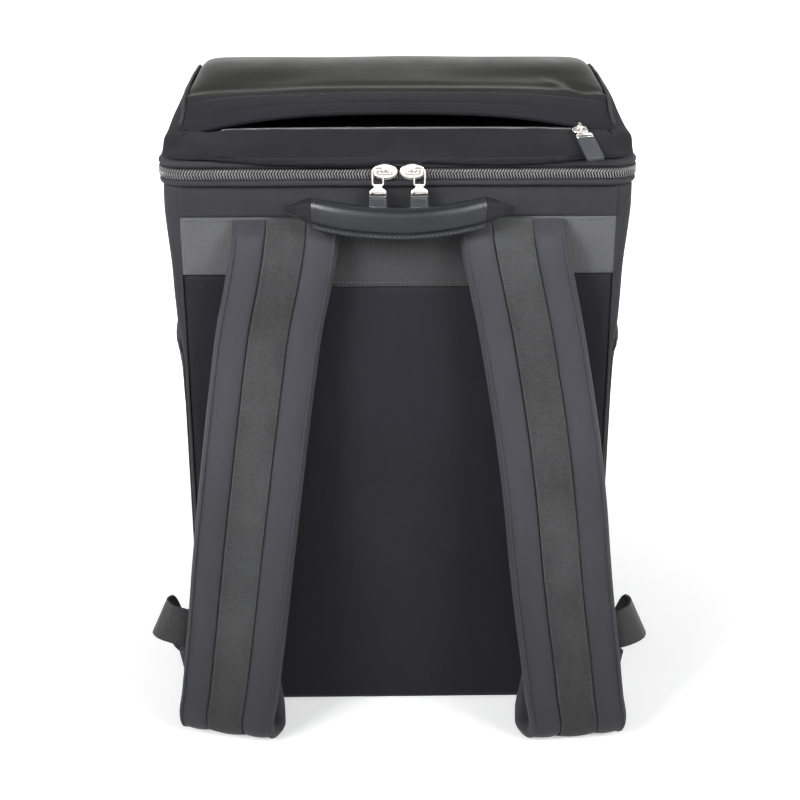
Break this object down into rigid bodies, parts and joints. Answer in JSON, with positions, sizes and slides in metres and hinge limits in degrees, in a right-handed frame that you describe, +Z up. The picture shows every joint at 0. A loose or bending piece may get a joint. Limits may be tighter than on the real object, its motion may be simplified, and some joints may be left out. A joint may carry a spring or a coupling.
{
  "type": "cooler backpack",
  "caption": "Soft insulated cooler backpack: padded tub open at the top, zip-round lid with a pocket, sleeve pockets at the sides, grab handle and padded shoulder straps.",
  "frame": {"origin": "the middle of the flat base the bag stands on", "axes": "X across the back, +Z up from the floor to the lid, -Y towards the shoulder straps"},
  "size_m": [0.3492, 0.2396, 0.4453],
  "materials": {
    "charcoal_cloth": "coated woven polyester, matt with a faint sheen",
    "back_cloth": "soft air mesh over foam, matt",
    "sleek_hide": "smooth imitation leather, satin",
    "handle_hide": "smooth imitation leather over a padded core, satin",
    "pad_cloth": "woven polyester over foam, matt",
    "webbing": "heather polyester webbing, ribbed",
    "zip_coil": "nylon coil on woven tape",
    "liner": "wipe-clean lining over foam",
    "nickel": "bright nickel plate",
    "rubber_tab": "matt moulded rubber",
    "buckle": "moulded acetal, matt"
  },
  "bodies": {
    "bag": {"body_shell": "charcoal_cloth", "yoke_panel": "charcoal_cloth", "side_pocket_right": "charcoal_cloth", "side_pocket_left": "charcoal_cloth", "side_pocket_hem_right": "charcoal_cloth", "side_pocket_hem_left": "charcoal_cloth", "zip_tape_lower": "charcoal_cloth", "zip_tape_upper": "charcoal_cloth", "lid_back_panel": "charcoal_cloth", "lid_front_panel": "charcoal_cloth", "lid_flap": "charcoal_cloth", "lid_gusset_right": "charcoal_cloth", "lid_gusset_left": "charcoal_cloth", "back_panel": "back_cloth", "lid_top_panel": "sleek_hide", "handle_grip": "handle_hide", "strap_pad_left": "pad_cloth", "strap_pad_right": "pad_cloth", "back_band": "webbing", "handle_web_right": "webbing", "handle_web_left": "webbing", "strap_web_right": "webbing", "strap_web_left": "webbing", "lower_web_right": "webbing", "lower_web_left": "webbing", "zip_chain": "zip_coil", "pocket_zip": "zip_coil", "lid_liner": "liner", "slider_right": "nickel", "slider_left": "nickel", "pocket_slider": "nickel", "ladder_lock_right": "buckle", "ladder_lock_left": "buckle"},
    "puller_left": {"puller_left": "nickel", "tab_left": "rubber_tab"},
    "puller_right": {"puller_right": "nickel", "tab_right": "rubber_tab"},
    "pocket_puller": {"pocket_puller": "nickel", "pocket_tab": "rubber_tab"}
  },
  "joints": [
    {"name": "puller_left_swing", "type": "hinge", "parent": "bag", "child": "puller_left", "pos_m": [-0.01315, -0.0968, 0.3968], "axis": [-1, 0, 0], "range_deg": [0, 16]},
    {"name": "puller_right_swing", "type": "hinge", "parent": "bag", "child": "puller_right", "pos_m": [0.01315, -0.0968, 0.3968], "axis": [-1, 0, 0], "range_deg": [0, 16]},
    {"name": "pocket_puller_swing", "type": "hinge", "parent": "bag", "child": "pocket_puller", "pos_m": [0.117, -0.06767, 0.41697], "axis": [-0.9863, -0.1546, -0.0577], "range_deg": [0, 110]}
  ]
}
